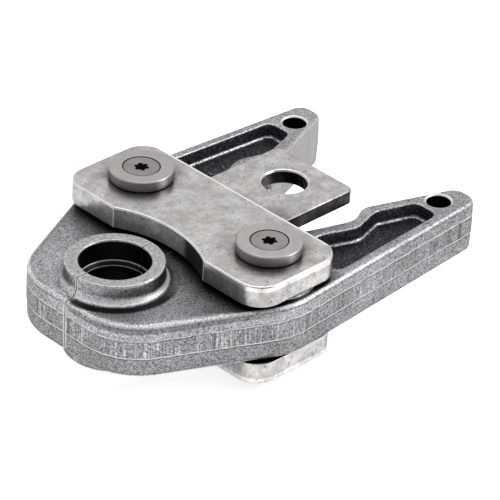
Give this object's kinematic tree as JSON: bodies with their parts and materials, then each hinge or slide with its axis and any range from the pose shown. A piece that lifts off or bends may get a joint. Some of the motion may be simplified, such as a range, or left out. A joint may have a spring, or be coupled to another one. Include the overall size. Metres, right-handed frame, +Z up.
{
  "type": "press fitting tool jaw",
  "caption": "Scissor-type press jaw: pivoted forged levers between T-shaped strap plates, with a split press ring at the nose and cam arms for the machine's rollers.",
  "frame": {"origin": "on the axis of the tool pin hole, half-way between the two strap plates", "axes": "+X to the rear, from the press ring towards the machine; +Z up along the tool pin; +Y towards the left lever"},
  "size_m": [0.1387, 0.0926, 0.0414],
  "materials": {
    "forged_steel": "dark phosphated forging, satin",
    "plate_steel": "satin, lightly stained",
    "pin_steel": "ground",
    "disc_steel": "smooth satin",
    "screw_steel": "satin",
    "spring_steel": "drawn wire"
  },
  "bodies": {
    "frame": {"upper_strap_plate": "plate_steel", "lower_strap_plate": "plate_steel", "left_pivot_pin": "pin_steel", "right_pivot_pin": "pin_steel", "upper_left_disc": "disc_steel", "lower_left_disc": "disc_steel", "upper_right_disc": "disc_steel", "lower_right_disc": "disc_steel", "upper_left_screw": "screw_steel", "lower_left_screw": "screw_steel", "upper_right_screw": "screw_steel", "lower_right_screw": "screw_steel", "closing_spring": "spring_steel"},
    "left_lever": {"left_jaw": "forged_steel"},
    "right_lever": {"right_jaw": "forged_steel"}
  },
  "joints": [
    {"name": "left_jaw_pivot", "type": "hinge", "parent": "frame", "child": "left_lever", "pos_m": [-0.03475, 0.0284, 0], "axis": [0, 0, -1], "range_deg": [0, 20], "stiffness_Nm_per_rad": 6.2, "springref_deg": -3.72, "deforming": ["closing_spring"]},
    {"name": "right_jaw_pivot", "type": "hinge", "parent": "frame", "child": "right_lever", "pos_m": [-0.03475, -0.0284, 0], "axis": [0, 0, 1], "range_deg": [0, 20], "stiffness_Nm_per_rad": 6.2, "springref_deg": -3.72, "deforming": ["closing_spring"]}
  ]
}
